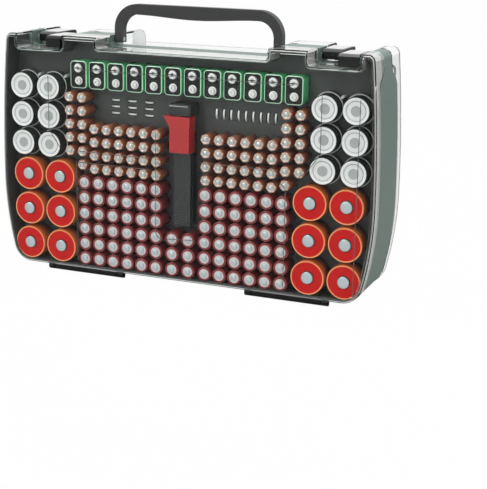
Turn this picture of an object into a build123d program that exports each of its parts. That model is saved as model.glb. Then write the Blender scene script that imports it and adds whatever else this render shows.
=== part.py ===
from build123d import *
import math
import os

# A wide carry case for loose battery cells. A ring-shaped body carries two moulded trays, one
# facing forward and one facing back. A clear lid closes each side: it swings on two hinges under
# the case and is held by two latches on top. X runs across, Y from front to back, Z up.
# The origin is the middle of the footprint, at the level of the table. All sizes are millimetres.

# ---------------------------------------------------------------- walls and clearances
lid_wall = 1.8
body_wall = 1.8
body_setback = 0.4
tray_clearance = 0.2
ledge_width = 4.0
ledge_thickness = 2.5
deck_thickness = 2.5
socket_floor = 1.0
socket_wall = 1.0
cell_clearance = 0.2
running_clearance = 0.1
pin_seat_clearance = 0.02
parting_gap = 0.3
lid_edge = 3.2

# ---------------------------------------------------------------- cells standing in the front tray
aa_diameter = 14.5
aa_length = 50.5
aa_pitch_x = 15.65
aa_first_x = 26.0
aa_columns = 6
aa_pitch_z = 15.57
aa_bottom_row = 18.65
aa_rows = 6
aa_middle_x = 8.5
aa_middle_rows = 3

aaa_diameter = 10.5
aaa_length = 44.5
aaa_pitch_x = 13.38
aaa_first_x = 26.0
aaa_columns = 6
aaa_pitch_z = 13.23
aaa_bottom_row = 110.7
aaa_rows = 4
aaa_tall_first_x = 106.2
aaa_tall_pitch_x = 13.7
aaa_tall_top_row = 180.4
aaa_tall_pitch_z = 13.3
aaa_tall_rows = (6, 5)

d_diameter = 33.4
d_length = 61.5
d_side_gap = 3.2
d_inner_x = aa_first_x + (aa_columns - 1) * aa_pitch_x + aa_diameter / 2 + d_side_gap + d_diameter / 2
d_pitch_x = 35.6
d_bottom_row = 28.5
d_pitch_z = 35.7

c_diameter = 26.2
c_length = 50.0
c_inner_x = 142.7
c_pitch_x = 29.5
c_bottom_row = 131.3
c_pitch_z = 28.55
big_cell_rows = 3
collar_height = 9.0
collar_wall = 1.2

nine_volt_width = 17.5
nine_volt_height = 26.5
nine_volt_length = 46.5
nine_volt_pitch = 20.24
nine_volt_count = 12
nine_volt_z = 202.15

# ---------------------------------------------------------------- outline, seen from the front
side_room = 10.9
case_half_width = d_inner_x + d_pitch_x + d_diameter / 2 + side_room
widest_height = 100.0
upper_bow_radius = 1428.0
lower_bow_radius = 321.0
case_bottom = 8.5
hump_top = 239.5
bottom_corner_radius = 20.0
top_corner_radius = 7.0
shoulder_width = 19.6
recess_width = 49.0
hump_width = 38.0
recess_outer = case_half_width - shoulder_width
recess_inner = recess_outer - recess_width
dip_half_width = recess_inner - hump_width
dip_top = 229.0
recess_floor = 226.0
step_radius = 3.0
least_corner_radius = 1.0

# ---------------------------------------------------------------- depth, seen from the side
front_room = 1.7
tray_gap = 1.05
back_room = 3.45
case_half_depth = (
    2 * lid_wall + front_room + d_length + 2 * socket_floor + tray_gap + cell_clearance + aa_diameter + back_room
) / 2
side_depth = 14.0
top_depth = 31.0
body_half_depth_side = case_half_depth - side_depth
body_half_depth_top = case_half_depth - top_depth
parting_bend_low = 203.0
parting_bend_high = 229.0

# ---------------------------------------------------------------- decks of the two trays
front_deck_setback = 25.0
back_deck_setback = 16.0
back_cell_setback = 5.25
front_cell_setback = 4.0
nine_volt_setback = 10.0
front_deck = -case_half_depth + front_deck_setback
back_deck = case_half_depth - back_deck_setback
cell_room_back = case_half_depth - back_cell_setback
front_cell_tip = -case_half_depth + front_cell_setback
big_cell_tip = -case_half_depth + lid_wall + front_room
nine_volt_front = -case_half_depth + nine_volt_setback

# ---------------------------------------------------------------- coin cells in slots of the deck
small_coin_diameter = 16.0
large_coin_diameter = 20.0
coin_thickness = 3.2
small_coin_proud = 1.2
large_coin_proud = 1.0
small_coin_x = -60.6
small_coin_pitch_x = 18.25
small_coin_z = 171.4
small_coin_pitch_z = 6.4
small_coin_grid = 3
large_coin_first_x = 28.9
large_coin_pitch_x = 7.5
large_coin_count = 9
large_coin_z = 172.3

# ---------------------------------------------------------------- cells lying in the back tray
yellow_diameter = 21.0
yellow_length = 75.0
yellow_x = 136.5
yellow_z = 148.8
yellow_pitch = 23.0
yellow_count = 3

photo_diameter = 15.6
photo_length = 27.0
photo_x = 76.8
photo_z = 146.8
photo_pitch = 19.9
photo_count = 3

camera_diameter = 17.5
camera_length = 34.0
camera_x = 39.5
camera_z = 70.5
camera_pitch = 22.4
camera_count = 6

half_aa_diameter = 14.5
half_aa_length = 25.0
half_aa_x = 2.0
half_aa_z = 42.2
half_aa_pitch = 15.93
half_aa_count = 10

remote_diameter = 8.0
remote_length = 28.0
remote_z = 203.0
remote_pitch = 31.0
remote_count = 5

back_aa_x = 149.6
back_aa_z = 43.9
back_aa_pitch = 16.96
back_aa_count = 6

slim_diameter = 8.3
slim_length = 42.5
slim_x = 86.4
slim_z = 62.2
slim_pitch = 11.0
slim_count = 7

back_aaa_x = (84.5, 38.2)
back_aaa_z = 38.4
back_aaa_pitch = 11.4
back_aaa_rows = 2
base_aaa_z = 26.2
base_aaa_pitch = 46.5
base_aaa_count = 6

# ---------------------------------------------------------------- battery tester on the front deck
rail_half_width = 8.8
rail_bottom = 62.5
rail_top = 171.2
rail_setback = 10.0
rail_front = -case_half_depth + rail_setback
rail_key_depth = 3.0
rail_key_width = 1.4
cap_half_width = 11.0
cap_top = 182.0
cap_setback = 3.0
cap_front = -case_half_depth + cap_setback
cap_edge = 1.5
slider_half_width = 10.6
slider_bottom = 135.5
slider_top = 170.2
slider_setback = 2.6
slider_front = -case_half_depth + slider_setback
slider_depth = 13.4
slider_clearance = 0.3
lug_reach = 16.6
lug_height = 9.8
tooth_count = 7
tooth_depth = 0.8
contact_width = 6.0
contact_thickness = 0.6
contact_depth = 5.0

# ---------------------------------------------------------------- hinges under the case
hinge_side_room = 44.6
hinge_span = 84.0
hinge_outer = case_half_width - hinge_side_room
hinge_inner = hinge_outer - hinge_span
knuckle_length = 6.0
hinge_end_gap = 0.7
hinge_axis_z = 4.2
knuckle_radius = 4.0
hinge_pin_radius = 1.8
foot_width = 3.4

# ---------------------------------------------------------------- latches on top
latch_width = 19.5
latch_inner_room = 10.9
latch_outer_room = 13.0
latch_inner_x = recess_inner + latch_inner_room
latch_outer_x = recess_outer - latch_outer_room
latch_pivot_y = 2.0
latch_pivot_z = 232.0
latch_pin_radius = 1.5
latch_barrel_radius = 3.4
latch_top = 237.8
latch_setback = 8.4
latch_front = -case_half_depth + latch_setback
latch_plate = 2.0
latch_hook_wall = 2.2
latch_side_wall = 2.2
latch_hook_gap = 0.6
catch_depth = 2.0
catch_height = 3.5
catch_gap = 0.3
ear_wall = 2.6

# ---------------------------------------------------------------- carry handle
handle_side_gap = 0.7
handle_half_width = dip_half_width - handle_side_gap
handle_leg = 8.4
handle_thickness = 9.0
handle_top = 269.8
handle_bar = 10.0
handle_belly = 2.8
handle_outer_radius = 24.0
handle_inner_radius = 15.6
handle_foot = 232.0
handle_pivot_z = 235.4
handle_pin_radius = 2.0
handle_pin_reach = 9.0

# ---------------------------------------------------------------- finger tab of the back lid
tab_x = -70.0
tab_radius = 7.0
tab_z = 237.0
tab_wall = 2.0

# ---------------------------------------------------------------- sides of repeated round shapes
far = 400.0
round_cell_sides = 6
big_cell_sides = 8
trough_sides = 8
knuckle_sides = 12


# ================================================================ small helpers
def front_slab(face, y_from, y_to):
    """A shape drawn as seen from the front, given depth from y_from to y_to."""
    return extrude(Plane((0, y_to, 0), x_dir=(1, 0, 0), z_dir=(0, -1, 0)) * face, y_to - y_from)


def side_slab(face, x_from, x_to):
    """A shape drawn as seen from the right, given width from x_from to x_to."""
    return extrude(Plane((x_from, 0, 0), x_dir=(0, 1, 0), z_dir=(1, 0, 0)) * face, x_to - x_from)


def block(low, high):
    """A rectangular block between two corners."""
    size = [b - a for a, b in zip(low, high)]
    middle = [(a + b) / 2 for a, b in zip(low, high)]
    return Pos(*middle) * Box(*size)


def x_rod(radius, x_from, x_to, y, z):
    """A round rod along X."""
    return side_slab(Pos(y, z) * Circle(radius), x_from, x_to)


def x_bore(radius, x_from, x_to, y, z):
    """A hole along X for a round pin of that radius."""
    return side_slab(Pos(y, z) * outside_polygon(radius, knuckle_sides), x_from, x_to)


def inside_polygon(radius, sides):
    """A round outline drawn with flat sides that stay within its radius, with flats left and right."""
    return RegularPolygon(radius, sides, rotation=180 / sides)


def outside_polygon(radius, sides):
    """A round opening drawn with flat sides that a round thing of that radius just fits through."""
    return RegularPolygon(radius / math.cos(math.pi / sides), sides, rotation=180 / sides)


def both_sides(values):
    """Each value with its mirror image."""
    return [side * value for value in values for side in (-1, 1)]


def half_turn(shape):
    """The same moulding on the other side of the case, turned about the upright axis."""
    return Rot(0, 0, 180) * shape


# ================================================================ outline of the case
def circle_point(centre, radius, angle):
    return (centre[0] + radius * math.cos(angle), centre[1] + radius * math.sin(angle))


def bowed_outline(inset, top):
    """Front view of the case without its steps on top, brought in by inset, up to top."""
    low_corner = bottom_corner_radius - inset
    high_corner = max(top_corner_radius - inset, least_corner_radius)
    low_centre = (case_half_width - lower_bow_radius, widest_height)
    high_centre = (case_half_width - upper_bow_radius, widest_height)
    low_bow = lower_bow_radius - inset
    high_bow = upper_bow_radius - inset
    low_turn = -math.asin((widest_height - case_bottom - bottom_corner_radius) / (low_bow - low_corner))
    high_turn = math.asin((top - high_corner - widest_height) / (high_bow - high_corner))
    low_hub = circle_point(low_centre, low_bow - low_corner, low_turn)
    high_hub = circle_point(high_centre, high_bow - high_corner, high_turn)
    foot = (low_hub[0], low_hub[1] - low_corner)
    low_tangent = circle_point(low_hub, low_corner, low_turn)
    widest = (case_half_width - inset, widest_height)
    high_tangent = circle_point(high_hub, high_corner, high_turn)
    shoulder = (high_hub[0], high_hub[1] + high_corner)
    right = [
        Line((0, foot[1]), foot),
        ThreePointArc(foot, circle_point(low_hub, low_corner, (low_turn - math.pi / 2) / 2), low_tangent),
        ThreePointArc(low_tangent, circle_point(low_centre, low_bow, low_turn / 2), widest),
        ThreePointArc(widest, circle_point(high_centre, high_bow, high_turn / 2), high_tangent),
        ThreePointArc(high_tangent, circle_point(high_hub, high_corner, (high_turn + math.pi / 2) / 2), shoulder),
        Line(shoulder, (0, shoulder[1])),
    ]
    left = [mirror(edge, about=Plane.YZ) for edge in right]
    return make_face(Curve() + right + left)


def step_cut(x_from, x_to, floor, radius):
    """Front view of one notch in the top of the case, with rounded inner corners."""
    height = far - floor
    shape = Pos((x_from + x_to) / 2, floor + height / 2) * RectangleRounded(x_to - x_from, height, radius)
    return shape


def top_steps(inset):
    """The notches in the top of the case: the middle dip and the two latch recesses."""
    radius = step_radius + inset
    dip = step_cut(-dip_half_width - inset, dip_half_width + inset, dip_top - inset, radius)
    right = step_cut(recess_inner - inset, recess_outer + inset, recess_floor - inset, radius)
    left = step_cut(-recess_outer - inset, -recess_inner + inset, recess_floor - inset, radius)
    return dip + right + left


def parting_zone(gap):
    """Everything in front of the front parting surface, from gap before it."""
    side, top = -body_half_depth_side - gap, -body_half_depth_top - gap
    low, high = (side, parting_bend_low), (top, parting_bend_high)
    middle = ((side + top) / 2, (parting_bend_low + parting_bend_high) / 2)
    edges = [
        Line((-far, -far), (side, -far)),
        Line((side, -far), low),
        TangentArc(low, middle, tangent=(0, 1)),
        TangentArc(high, middle, tangent=(0, -1)),
        Line(high, (top, far)),
        Line((top, far), (-far, far)),
        Line((-far, far), (-far, -far)),
    ]
    return side_slab(make_face(Curve() + edges), -far, far)


# ================================================================ where the cells are
def grid(xs, zs):
    return [(x, z) for x in xs for z in zs]


def series(first, pitch, count):
    return [first + pitch * i for i in range(count)]


def centred(middle, pitch, count):
    return series(middle - pitch * (count - 1) / 2, pitch, count)


def aa_places():
    columns = both_sides(series(aa_first_x, aa_pitch_x, aa_columns))
    rows = series(aa_bottom_row, aa_pitch_z, aa_rows)
    return grid(columns, rows) + grid(both_sides([aa_middle_x]), rows[:aa_middle_rows])


def aaa_places():
    columns = both_sides(series(aaa_first_x, aaa_pitch_x, aaa_columns))
    places = grid(columns, series(aaa_bottom_row, aaa_pitch_z, aaa_rows))
    for i, rows in enumerate(aaa_tall_rows):
        x = aaa_tall_first_x + aaa_tall_pitch_x * i
        places += grid(both_sides([x]), series(aaa_tall_top_row, -aaa_tall_pitch_z, rows))
    return places


def d_places():
    return grid(both_sides(series(d_inner_x, d_pitch_x, 2)), series(d_bottom_row, d_pitch_z, big_cell_rows))


def c_places():
    return grid(both_sides(series(c_inner_x, c_pitch_x, 2)), series(c_bottom_row, c_pitch_z, big_cell_rows))


def nine_volt_places():
    return grid(centred(0, nine_volt_pitch, nine_volt_count), [nine_volt_z])


def small_coin_places():
    xs = centred(small_coin_x, small_coin_pitch_x, small_coin_grid)
    return grid(xs, centred(small_coin_z, small_coin_pitch_z, small_coin_grid))


def large_coin_places():
    return grid(series(large_coin_first_x, large_coin_pitch_x, large_coin_count), [large_coin_z])


def yellow_places():
    return grid(both_sides([yellow_x]), series(yellow_z, yellow_pitch, yellow_count))


def photo_places():
    return grid(both_sides([photo_x]), series(photo_z, photo_pitch, photo_count))


def camera_places():
    return grid(both_sides([camera_x]), series(camera_z, camera_pitch, camera_count))


def half_aa_places():
    return grid([half_aa_x], series(half_aa_z, half_aa_pitch, half_aa_count))


def remote_places():
    return grid(centred(0, remote_pitch, remote_count), [remote_z])


def back_aa_places():
    return grid(both_sides([back_aa_x]), series(back_aa_z, back_aa_pitch, back_aa_count))


def slim_places():
    return grid(both_sides([slim_x]), series(slim_z, slim_pitch, slim_count))


def back_aaa_places():
    upper = grid(both_sides(back_aaa_x), series(back_aaa_z, back_aaa_pitch, back_aaa_rows))
    base = grid(centred(0, base_aaa_pitch, base_aaa_count), [base_aaa_z])
    return upper + base


# Each lying kind: places, diameter, length.
lying_kinds = {
    "back_yellow_cells": (yellow_places(), yellow_diameter, yellow_length),
    "back_photo_cells": (photo_places(), photo_diameter, photo_length),
    "back_camera_cells": (camera_places(), camera_diameter, camera_length),
    "back_half_aa_cells": (half_aa_places(), half_aa_diameter, half_aa_length),
    "back_remote_cells": (remote_places(), remote_diameter, remote_length),
    "back_aa_cells": (back_aa_places(), aa_diameter, aa_length),
    "back_slim_cells": (slim_places(), slim_diameter, slim_length),
    "back_aaa_cells": (back_aaa_places(), aaa_diameter, aaa_length),
}


# ================================================================ cells
def standing_cell(x, z, diameter, tip, length, sides):
    """A cell that points forward, with its tip at tip; its edges lie on the real diameter."""
    return front_slab(Pos(x, z) * inside_polygon(diameter / 2, sides), tip, tip + length)


def standing_cells(places, diameter, tip, length, sides):
    return Compound([standing_cell(x, z, diameter, tip, length, sides) for x, z in places])


def nine_volt_cells():
    profile = Rectangle(nine_volt_width, nine_volt_height)
    back = nine_volt_front + nine_volt_length
    return Compound([front_slab(Pos(x, z) * profile, nine_volt_front, back) for x, z in nine_volt_places()])


def lying_height(diameter):
    """How far the axis of a lying cell is in front of the back deck: half sunk, clear of the lid."""
    return back_deck + min(diameter / 4, cell_room_back - diameter / 2 - back_deck)


def lying_cells(places, diameter, length):
    axis = lying_height(diameter)
    shape = RegularPolygon(diameter / 2, round_cell_sides)
    return Compound([side_slab(Pos(axis, z) * shape, x - length / 2, x + length / 2) for x, z in places])


def coin(diameter):
    """A coin cell with its round faces up and down, its corners on the real diameter."""
    return extrude(inside_polygon(diameter / 2, big_cell_sides), coin_thickness / 2, both=True)


def small_coins():
    y = front_deck - small_coin_proud + small_coin_diameter / 2
    return Compound([Pos(x, y, z) * coin(small_coin_diameter) for x, z in small_coin_places()])


def large_coins():
    y = front_deck - large_coin_proud + large_coin_diameter / 2
    return Compound([Pos(x, y, z) * Rot(0, 90, 0) * coin(large_coin_diameter) for x, z in large_coin_places()])


# ================================================================ trays
def tray_outline():
    top = recess_floor - body_wall - tray_clearance
    return bowed_outline(body_wall + tray_clearance, top)


def socket_bank(places, half_x, half_z, spare=0):
    """Front view of the moulded block that surrounds a group of sockets, grown by spare."""
    xs, zs = [x for x, z in places], [z for x, z in places]
    margin_x, margin_z = half_x + socket_wall + spare, half_z + socket_wall + spare
    width = max(xs) - min(xs) + 2 * margin_x
    height = max(zs) - min(zs) + 2 * margin_z
    return Pos((max(xs) + min(xs)) / 2, (max(zs) + min(zs)) / 2) * Rectangle(width, height)


def side_groups(places):
    """Left and right halves of a mirrored pattern, which are moulded as separate blocks."""
    halves = [[p for p in places if p[0] < 0], [p for p in places if p[0] > 0]]
    return [half for half in halves if half]


def standing_kinds():
    """Each kind of socket in the front deck: groups of places, half sizes, depth and sides."""
    small_back = front_deck - small_coin_proud + small_coin_diameter
    large_back = front_deck - large_coin_proud + large_coin_diameter
    nine_back = nine_volt_front + nine_volt_length
    kinds = [
        (side_groups(aa_places()), aa_diameter, aa_diameter, front_cell_tip + aa_length, 4),
        (side_groups(aaa_places()), aaa_diameter, aaa_diameter, front_cell_tip + aaa_length, 4),
        (side_groups(d_places()), d_diameter, d_diameter, big_cell_tip + d_length, big_cell_sides),
        (side_groups(c_places()), c_diameter, c_diameter, front_cell_tip + c_length, big_cell_sides),
        ([nine_volt_places()], nine_volt_width, nine_volt_height, nine_back, 4),
        ([small_coin_places()], small_coin_diameter, coin_thickness, small_back, 4),
        ([large_coin_places()], coin_thickness, large_coin_diameter, large_back, 4),
    ]
    return [
        (groups, width / 2 + cell_clearance, height / 2 + cell_clearance, depth, sides)
        for groups, width, height, depth, sides in kinds
    ]


def front_tray():
    """Deck with a bank of blind sockets behind it for every kind of standing cell."""
    outline = tray_outline()
    tray = front_slab(outline, front_deck, front_deck + deck_thickness)
    sockets = []
    for groups, half_x, half_z, depth, sides in standing_kinds():
        if sides == 4:
            opening = Rectangle(2 * half_x, 2 * half_z)
        else:
            opening = outside_polygon(half_x, sides)
        for places in groups:
            bank = socket_bank(places, half_x, half_z) & outline
            tray += front_slab(bank, front_deck, depth + socket_floor)
            sockets += [front_slab(Pos(x, z) * opening, front_deck - collar_height, depth) for x, z in places]
    for x, z in c_places():
        outer = outside_polygon(c_diameter / 2 + cell_clearance + collar_wall, big_cell_sides)
        tray += front_slab(Pos(x, z) * outer, front_deck - collar_height, front_deck)
    return tray - sockets


def back_tray():
    """Deck with a trough for every lying cell."""
    outline = tray_outline()
    tray = front_slab(outline, back_deck - deck_thickness, back_deck)
    troughs = []
    for places, diameter, length in lying_kinds.values():
        axis = lying_height(diameter)
        radius = diameter / 2 + cell_clearance
        for group in side_groups(places):
            bank = socket_bank(group, length / 2 + cell_clearance, radius) & outline
            tray += front_slab(bank, axis - radius - socket_floor, back_deck)
        shape = outside_polygon(radius, trough_sides)
        half = length / 2 + cell_clearance
        troughs += [side_slab(Pos(axis, z) * shape, x - half, x + half) for x, z in places]
    return tray - troughs


# ================================================================ body
def hinge_places():
    """Middle of each hinge along X."""
    return both_sides([(hinge_inner + hinge_outer) / 2])


def body_eyes():
    """The fixed ends of every hinge. The case stands on their flat feet, which reach inwards from
    the axis only, so that the lid's lower wall swings past them."""
    half_span = (hinge_outer - hinge_inner) / 2
    profile = Pos(body_half_depth_side, hinge_axis_z) * inside_polygon(knuckle_radius, knuckle_sides)
    foot_y = body_half_depth_side - foot_width / 2
    profile += Pos(foot_y, hinge_axis_z / 2) * Rectangle(foot_width, hinge_axis_z)
    web_low, web_high = hinge_axis_z, case_bottom + body_wall / 2
    web_width = knuckle_radius - parting_gap
    profile += Pos(body_half_depth_side - web_width / 2 - parting_gap, (web_low + web_high) / 2) * Rectangle(
        web_width, web_high - web_low
    )
    bore = outside_polygon(hinge_pin_radius + running_clearance, knuckle_sides)
    profile -= Pos(body_half_depth_side, hinge_axis_z) * bore
    eyes = []
    for middle in hinge_places():
        for end in (-1, 1):
            start = middle + end * half_span
            eyes.append(side_slab(profile, min(start, start - end * knuckle_length),
                                  max(start, start - end * knuckle_length)))
    return eyes + [half_turn(eye) for eye in eyes]


def latch_pivots():
    """Each latch as its name, middle X and pivot Y."""
    return {
        "latch_front_left": (-latch_inner_x, latch_pivot_y),
        "latch_front_right": (latch_outer_x, latch_pivot_y),
        "latch_back_right": (latch_inner_x, -latch_pivot_y),
        "latch_back_left": (-latch_outer_x, -latch_pivot_y),
    }


def latch_ears():
    """Upright ears on the body beside every latch, inside the recess, rounded about the pin."""
    ears = []
    for x, y in latch_pivots().values():
        for side in (-1, 1):
            start = x + side * (latch_width / 2 + parting_gap)
            profile = Pos(y, latch_pivot_z) * inside_polygon(latch_barrel_radius, knuckle_sides)
            low = recess_floor - body_wall
            profile += Pos(y, (latch_pivot_z + low) / 2) * Rectangle(2 * latch_barrel_radius, latch_pivot_z - low)
            ears.append(side_slab(profile, min(start, start + side * ear_wall), max(start, start + side * ear_wall)))
    return ears


def latch_pin_length():
    return latch_width + 2 * parting_gap + 2 * ear_wall


def latch_pins():
    """Steel pins that carry the latches in the ears."""
    half = latch_pin_length() / 2
    return Compound([
        x_rod(latch_pin_radius, x - half, x + half, y, latch_pivot_z) for x, y in latch_pivots().values()
    ])


def latch_pin_holes():
    half = latch_pin_length() / 2
    return [
        x_bore(latch_pin_radius + pin_seat_clearance, x - half, x + half, y, latch_pivot_z)
        for x, y in latch_pivots().values()
    ]


def handle_pin_holes():
    holes = []
    for side in (-1, 1):
        ends = sorted((side * dip_half_width, side * (dip_half_width + handle_pin_reach)))
        holes.append(x_bore(handle_pin_radius + pin_seat_clearance, *ends, 0, handle_pivot_z))
    return holes


def body_frame():
    """The ring between the lids: bowed wall, humps, latch recesses, tray ledges and hinge eyes."""
    outer = bowed_outline(body_setback, hump_top - body_setback) - top_steps(body_setback)
    inner = bowed_outline(body_wall, recess_floor - body_wall)
    ring = front_slab(outer - inner, -body_half_depth_side, body_half_depth_side)
    shelf = inner - bowed_outline(body_wall + ledge_width, recess_floor - body_wall - ledge_width)
    front_seat = front_deck + deck_thickness
    back_seat = back_deck - deck_thickness
    ring += front_slab(shelf, back_seat - ledge_thickness, back_seat)
    for groups, half_x, half_z, depth, sides in standing_kinds():
        shelf -= [socket_bank(places, half_x, half_z, tray_clearance) for places in groups]
    ring += front_slab(shelf, front_seat, front_seat + ledge_thickness)
    zone = parting_zone(0)
    ring = ring - zone - half_turn(zone)
    ring = ring + latch_ears() + body_eyes()
    return ring - latch_pin_holes() - handle_pin_holes()


# ================================================================ lids
def lid_bar():
    """The moving middle of each hinge: a long bar under the lid with a pin at each end."""
    half_span = (hinge_outer - hinge_inner) / 2 - knuckle_length - hinge_end_gap
    y = -body_half_depth_side
    profile = Pos(y, hinge_axis_z) * inside_polygon(knuckle_radius, knuckle_sides)
    web_high = case_bottom + lid_wall / 2
    web_width = knuckle_radius - parting_gap
    profile += Pos(y - parting_gap - web_width / 2, (hinge_axis_z + web_high) / 2) * Rectangle(
        web_width, web_high - hinge_axis_z
    )
    bars = []
    for middle in hinge_places():
        bars.append(side_slab(profile, middle - half_span, middle + half_span))
        reach = half_span + knuckle_length
        bars.append(x_rod(hinge_pin_radius, middle - reach, middle + reach, y, hinge_axis_z))
    return bars


def catches():
    """Ridges in the front lid's latch recesses that the hooks close over."""
    y_to = latch_front + latch_hook_wall + catch_gap + catch_depth
    y_from = y_to - catch_depth
    low, high = recess_floor - lid_wall / 2, recess_floor + catch_height
    width = latch_width - 2 * latch_side_wall - 2 * parting_gap
    return [
        block((x - width / 2, y_from, low), (x + width / 2, y_to, high)) for x in (-latch_inner_x, latch_outer_x)
    ]


def bowed_block(inset, front):
    """The bowed outline given depth from front to the middle of the case, and its front edges."""
    solid = front_slab(bowed_outline(inset, hump_top - inset), front, 0)
    return solid.faces().sort_by(Axis.Y)[0].edges()


def front_lid():
    """Clear shell with stepped top, catches for the two latches and the bars of its hinges."""
    steps = front_slab(top_steps(0), -far, far)
    inner_steps = front_slab(top_steps(lid_wall), -far, far)
    shell = chamfer(bowed_block(0, -case_half_depth), lid_edge) - steps
    cavity = chamfer(bowed_block(lid_wall, -case_half_depth + lid_wall), lid_edge - lid_wall / 2) - inner_steps
    shell = (shell - cavity) & parting_zone(parting_gap)
    return shell + catches() + lid_bar()


def finger_tab():
    """Round clear tab that stands on the back lid's rim, for pulling the lid open."""
    y_from = body_half_depth_top + parting_gap
    disc = Pos(tab_x, tab_z) * Circle(tab_radius)
    low = dip_top - lid_wall / 2
    disc += Pos(tab_x, (tab_z + low) / 2) * Rectangle(2 * tab_radius, tab_z - low)
    return front_slab(disc, y_from, y_from + tab_wall)


def back_lid():
    return half_turn(front_lid()) + finger_tab()


# ================================================================ latches
def latch():
    """One latch with its middle at X 0, its hook in front: plate, hook, side walls and barrel."""
    y, z = latch_pivot_y, latch_pivot_z
    hook_low = recess_floor + latch_hook_gap
    side = Pos(y, z) * inside_polygon(latch_barrel_radius, knuckle_sides)
    side += make_face(Polyline(
        (latch_front, hook_low), (latch_front + latch_hook_wall, hook_low),
        (latch_front + 2 * latch_hook_wall, latch_top - 2 * latch_plate),
        (y, z - latch_barrel_radius), (y + latch_barrel_radius, z), (y + latch_barrel_radius, latch_top - latch_plate),
        (y, latch_top), (latch_front + latch_plate, latch_top), (latch_front, latch_top - latch_plate),
        close=True,
    ))
    half = latch_width / 2
    arm = side_slab(side, -half, half)
    inner = half - latch_side_wall
    hollow_back = y - latch_barrel_radius - running_clearance
    under_plate = latch_top - latch_plate
    arm -= block((-inner, latch_front + latch_hook_wall, hook_low), (inner, hollow_back, under_plate))
    return arm - x_bore(latch_pin_radius + running_clearance, -half, half, y, z)


def placed_latch(name):
    x, pivot_y = latch_pivots()[name]
    shape = latch() if pivot_y > 0 else half_turn(latch())
    return Pos(x, 0, 0) * shape


# ================================================================ carry handle
def handle():
    """Arched grip with a belly underneath; its legs hang on pins between the humps."""
    outer_x, inner_x = handle_half_width, handle_half_width - handle_leg
    top, under = handle_top, handle_top - handle_bar
    right_outer = [
        Line((outer_x, handle_foot), (outer_x, top - handle_outer_radius)),
        RadiusArc((outer_x, top - handle_outer_radius), (outer_x - handle_outer_radius, top), -handle_outer_radius),
        Line((outer_x - handle_outer_radius, top), (0, top)),
    ]
    bend = (inner_x - handle_inner_radius, under)
    right_inner = [
        Spline((0, under - handle_belly), bend, tangents=((1, 0), (1, 0))),
        RadiusArc(bend, (inner_x, under - handle_inner_radius), handle_inner_radius),
        Line((inner_x, under - handle_inner_radius), (inner_x, handle_foot)),
        Line((inner_x, handle_foot), (outer_x, handle_foot)),
    ]
    edges = right_outer + right_inner
    edges += [mirror(edge, about=Plane.YZ) for edge in edges]
    grip = front_slab(make_face(Curve() + edges), -handle_thickness / 2, handle_thickness / 2)
    holes = [
        x_bore(handle_pin_radius + running_clearance, *sorted((side * inner_x, side * outer_x)), 0, handle_pivot_z)
        for side in (-1, 1)
    ]
    return grip - holes


def handle_pins():
    rods = []
    for side in (-1, 1):
        ends = sorted((side * (handle_half_width - handle_leg), side * (dip_half_width + handle_pin_reach)))
        rods.append(x_rod(handle_pin_radius, *ends, 0, handle_pivot_z))
    return Compound(rods)


# ================================================================ battery tester
def tester_rail():
    """Upright rail on the deck, grooved down each side for the slider's keys."""
    rail = block((-rail_half_width, rail_front, rail_bottom), (rail_half_width, front_deck, rail_top))
    groove_back = slider_front + slider_depth + slider_clearance
    for side in (-1, 1):
        ends = sorted((side * (rail_half_width - rail_key_depth), side * rail_half_width))
        rail -= block((ends[0], groove_back - rail_key_width - 2 * slider_clearance, rail_bottom),
                      (ends[1], groove_back, rail_top))
    return rail


def tester_cap():
    """Fixed block at the top of the rail that holds the upper contact."""
    cap = block((-cap_half_width, cap_front, rail_top), (cap_half_width, front_deck, cap_top))
    edges = cap.edges().filter_by(Axis.Z).group_by(Axis.Y)[0]
    return chamfer(edges, cap_edge)


def slider_outline():
    """Front view of the slider: a lug at the upper left, and toothed edges below it."""
    half = slider_half_width
    tooth = (slider_top - lug_height - slider_bottom) / tooth_count
    right = [(half, slider_bottom)]
    left = [(-half, slider_top - lug_height)]
    for i in range(tooth_count):
        low = slider_bottom + tooth * i
        high = slider_top - lug_height - tooth * i
        right += [(half - tooth_depth, low + tooth / 2), (half, low + tooth)]
        left += [(-half + tooth_depth, high - tooth / 2), (-half, high - tooth)]
    lug = [(half, slider_top), (-lug_reach, slider_top)]
    return make_face(Polyline(*(right + lug + left), close=True))


def tester_slider():
    """Red slider that wraps round the rail; its keys run in the rail's grooves."""
    back = slider_front + slider_depth
    body = front_slab(slider_outline(), slider_front, back)
    inside = rail_half_width + slider_clearance
    body -= block((-inside, rail_front - slider_clearance, 0), (inside, back, far))
    for side in (-1, 1):
        ends = sorted((side * (inside - rail_key_depth + slider_clearance), side * (inside + tooth_depth / 4)))
        body += block((ends[0], back - rail_key_width, slider_bottom), (ends[1], back, slider_top))
    return body - slider_contact()


def tester_contact():
    """Brass strip under the cap, where a cell's tip is pressed."""
    half = contact_width / 2
    return block((-half, cap_front + contact_thickness, rail_top - contact_thickness), (half, rail_front, rail_top))


def slider_contact():
    """Brass strip let into the top of the slider, under the fixed one."""
    half = contact_width / 2
    front = slider_front + contact_thickness
    return block((-half, front, slider_top - contact_thickness), (half, front + contact_depth, slider_top))


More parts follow.
